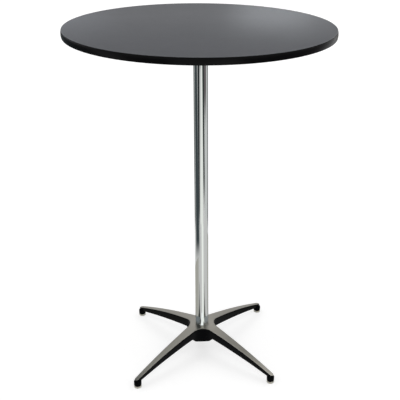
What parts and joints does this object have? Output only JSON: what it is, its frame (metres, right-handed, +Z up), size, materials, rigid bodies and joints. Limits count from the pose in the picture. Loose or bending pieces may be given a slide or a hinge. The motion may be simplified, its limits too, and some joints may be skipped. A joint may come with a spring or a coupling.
{
  "type": "pub table",
  "caption": "Tall round pub table: laminated disc top with a plastic edge, chromed tube column and a cast spider base on screw-in levelling glides.",
  "frame": {"origin": "on the floor, on the column's axis", "axes": "+Z up the column; the legs lie on the diagonals between X and Y; the edge moulding's butt joint faces +Y"},
  "size_m": [0.7672, 0.7672, 1.067],
  "materials": {
    "laminate": "fine-textured black high-pressure laminate",
    "board": "raw particle board",
    "backer": "dark phenolic backer sheet",
    "moulding": "black extruded plastic, satin gloss",
    "plate": "black powder coat on a sand casting",
    "steel": "zinc plated steel",
    "column": "bright chrome plate",
    "base": "polished top faces, gloss black paint on the sides and below",
    "glide": "natural nylon, slightly translucent"
  },
  "bodies": {
    "table": {"top_laminate": "laminate", "top_core": "board", "top_backer": "backer", "edge_moulding": "moulding", "top_plate": "plate", "plate_screws": "steel", "column_tube": "column", "tie_rod": "steel", "rod_washers": "steel", "rod_nuts": "steel", "base_casting": "base"},
    "glide_stud_1": {"glide_stud_1": "steel"},
    "glide_pad_1": {"glide_pad_1": "glide"},
    "glide_stud_2": {"glide_stud_2": "steel"},
    "glide_pad_2": {"glide_pad_2": "glide"},
    "glide_stud_3": {"glide_stud_3": "steel"},
    "glide_pad_3": {"glide_pad_3": "glide"},
    "glide_stud_4": {"glide_stud_4": "steel"},
    "glide_pad_4": {"glide_pad_4": "glide"}
  },
  "joints": [
    {"name": "glide_travel_1", "type": "slide", "parent": "table", "child": "glide_stud_1", "axis": [0, 0, -1], "range_m": [0, 0.012]},
    {"name": "glide_turn_1", "type": "hinge", "parent": "glide_stud_1", "child": "glide_pad_1", "pos_m": [0.20598, -0.20598, 0.003], "axis": [0, 0, -1], "range_deg": [0, 3450]},
    {"name": "glide_travel_2", "type": "slide", "parent": "table", "child": "glide_stud_2", "axis": [0, 0, -1], "range_m": [0, 0.012]},
    {"name": "glide_turn_2", "type": "hinge", "parent": "glide_stud_2", "child": "glide_pad_2", "pos_m": [0.20598, 0.20598, 0.003], "axis": [0, 0, -1], "range_deg": [0, 3450]},
    {"name": "glide_travel_3", "type": "slide", "parent": "table", "child": "glide_stud_3", "axis": [0, 0, -1], "range_m": [0, 0.012]},
    {"name": "glide_turn_3", "type": "hinge", "parent": "glide_stud_3", "child": "glide_pad_3", "pos_m": [-0.20598, 0.20598, 0.003], "axis": [0, 0, -1], "range_deg": [0, 3450]},
    {"name": "glide_travel_4", "type": "slide", "parent": "table", "child": "glide_stud_4", "axis": [0, 0, -1], "range_m": [0, 0.012]},
    {"name": "glide_turn_4", "type": "hinge", "parent": "glide_stud_4", "child": "glide_pad_4", "pos_m": [-0.20598, -0.20598, 0.003], "axis": [0, 0, -1], "range_deg": [0, 3450]}
  ],
  "couplings": [
    {"joint": "glide_travel_1", "follows": "glide_turn_1", "m_per_rad": 0.00019894},
    {"joint": "glide_travel_2", "follows": "glide_turn_2", "m_per_rad": 0.00019894},
    {"joint": "glide_travel_3", "follows": "glide_turn_3", "m_per_rad": 0.00019894},
    {"joint": "glide_travel_4", "follows": "glide_turn_4", "m_per_rad": 0.00019894}
  ]
}
